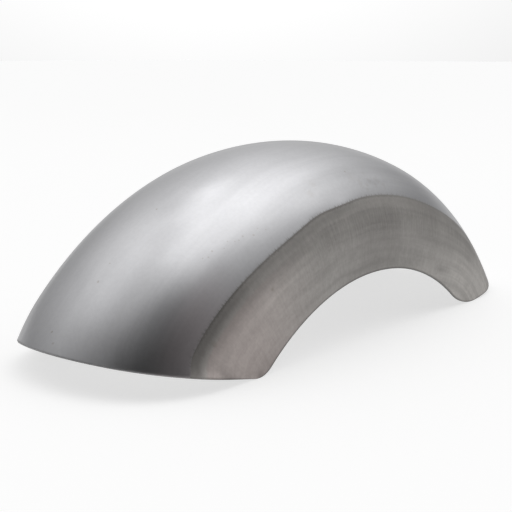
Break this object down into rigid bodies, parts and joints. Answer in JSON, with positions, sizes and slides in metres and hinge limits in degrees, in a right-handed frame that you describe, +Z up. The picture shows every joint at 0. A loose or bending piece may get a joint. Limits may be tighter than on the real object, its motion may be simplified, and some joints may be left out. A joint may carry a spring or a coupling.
{
  "type": "motorcycle rear fender",
  "caption": "Raw steel rear fender blank: a domed crown and rounded shoulders curving over the wheel into flat side skirts with a wheel-arch cut, no holes or brackets.",
  "frame": {"origin": "on the level that the skirts' lowest points stand on, midway between the two ends and on the middle plane", "axes": "+Z up towards the crown, +X from the square-cut front end to the rounded rear end, +Y across the fender"},
  "size_m": [0.59, 0.216, 0.177],
  "materials": {
    "raw_steel": "satin mill finish on the crown, ground and brushed shoulders and skirts"
  },
  "bodies": {
    "root": {"fender_shell": "raw_steel"}
  },
  "joints": []
}
